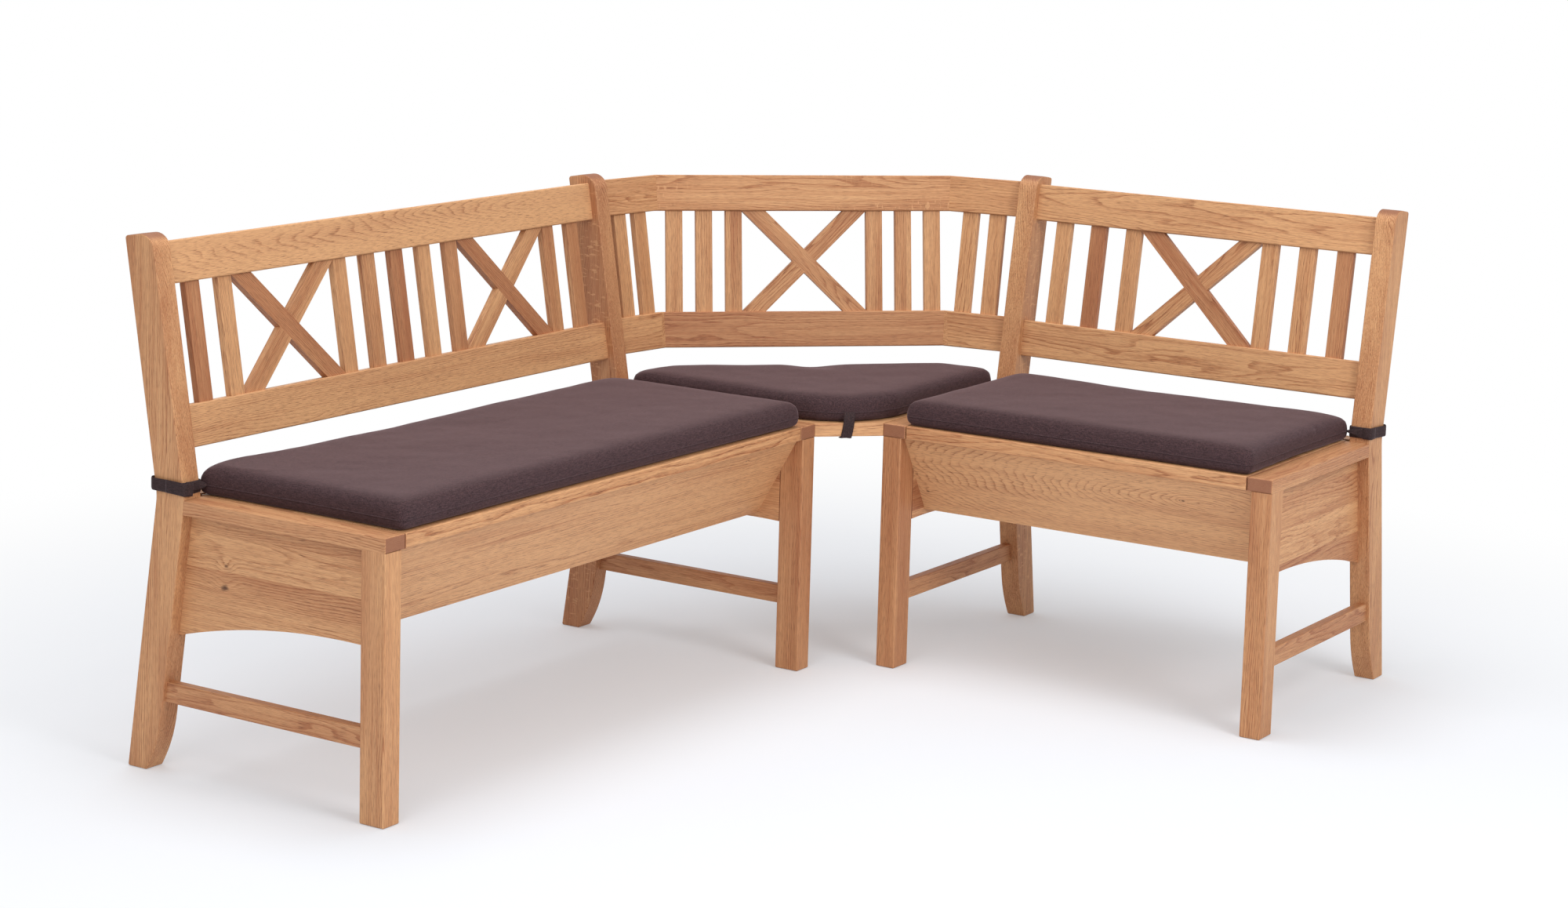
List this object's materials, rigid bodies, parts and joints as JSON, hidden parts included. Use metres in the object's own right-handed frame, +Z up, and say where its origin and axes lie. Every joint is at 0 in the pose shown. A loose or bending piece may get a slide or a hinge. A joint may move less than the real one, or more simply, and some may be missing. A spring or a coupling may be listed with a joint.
{
  "type": "corner storage bench",
  "caption": "L-shaped wooden corner bench with hinged seats over storage chests, a slatted back with crossed diagonals, and loose flat cushions.",
  "frame": {"origin": "middle of the footprint's bounding box, on the floor", "axes": "+Z up; the long bench runs along X at the +Y side and faces -Y, the short bench runs along Y at the +X side and faces -X"},
  "size_m": [1.8133, 1.3883, 0.8603],
  "materials": {
    "oak": "satin oiled",
    "cushion_cloth": "matte weave",
    "strap_webbing": "matte weave",
    "hinge_steel": "satin"
  },
  "bodies": {
    "frame": {"corner_cross_falling": "oak", "corner_cross_rising": "oak", "corner_low_rail": "oak", "corner_low_side_rails": "oak", "corner_seat": "oak", "corner_seat_cleats": "oak", "corner_slats": "oak", "corner_top_rail": "oak", "corner_top_side_rails": "oak", "hinge_frame_leaves": "hinge_steel", "hinge_frame_screws": "hinge_steel", "hinge_pins": "hinge_steel", "long_back_low_rail": "oak", "long_back_slats": "oak", "long_back_top_rail": "oak", "long_chest_back": "oak", "long_chest_bottom": "oak", "long_chest_front": "oak", "long_cross_falling": "oak", "long_cross_rising": "oak", "long_cushion_strap": "strap_webbing", "long_hinge_rail": "oak", "long_inner_back_post": "oak", "long_inner_end_panel": "oak", "long_inner_front_leg": "oak", "long_inner_side_rail": "oak", "long_outer_back_post": "oak", "long_outer_end_panel": "oak", "long_outer_front_leg": "oak", "long_outer_side_rail": "oak", "long_stretchers": "oak", "short_back_low_rail": "oak", "short_back_slats": "oak", "short_back_top_rail": "oak", "short_chest_back": "oak", "short_chest_bottom": "oak", "short_chest_front": "oak", "short_cross_falling": "oak", "short_cross_rising": "oak", "short_cushion_strap": "strap_webbing", "short_hinge_rail": "oak", "short_inner_back_post": "oak", "short_inner_end_panel": "oak", "short_inner_front_leg": "oak", "short_inner_side_rail": "oak", "short_outer_back_post": "oak", "short_outer_end_panel": "oak", "short_outer_front_leg": "oak", "short_outer_side_rail": "oak", "short_stretchers": "oak"},
    "long_lid": {"long_lid": "oak", "long_lid_hinge_leaves": "hinge_steel", "long_lid_hinge_screws": "hinge_steel"},
    "short_lid": {"short_lid": "oak", "short_lid_hinge_leaves": "hinge_steel", "short_lid_hinge_screws": "hinge_steel"},
    "long_cushion": {"long_cushion": "cushion_cloth"},
    "short_cushion": {"short_cushion": "cushion_cloth"},
    "corner_cushion": {"corner_cushion": "cushion_cloth", "corner_cushion_tab": "strap_webbing"}
  },
  "joints": [
    {"name": "long_lid_hinge", "type": "hinge", "parent": "frame", "child": "long_lid", "pos_m": [-0.3096, 0.5817, 0.449], "axis": [-1, 0, 0], "range_deg": [0, 58]},
    {"name": "short_lid_hinge", "type": "hinge", "parent": "frame", "child": "short_lid", "pos_m": [0.7942, -0.3096, 0.449], "axis": [0, 1, 0], "range_deg": [0, 58]},
    {"name": "long_cushion_slide", "type": "slide", "parent": "long_lid", "child": "long_cushion", "axis": [0, -1, 0], "range_m": [0, 0.12]},
    {"name": "short_cushion_slide", "type": "slide", "parent": "short_lid", "child": "short_cushion", "axis": [-1, 0, 0], "range_m": [0, 0.12]},
    {"name": "corner_cushion_lift", "type": "slide", "parent": "frame", "child": "corner_cushion", "axis": [0, 0, 1], "range_m": [0, 0.4]}
  ]
}
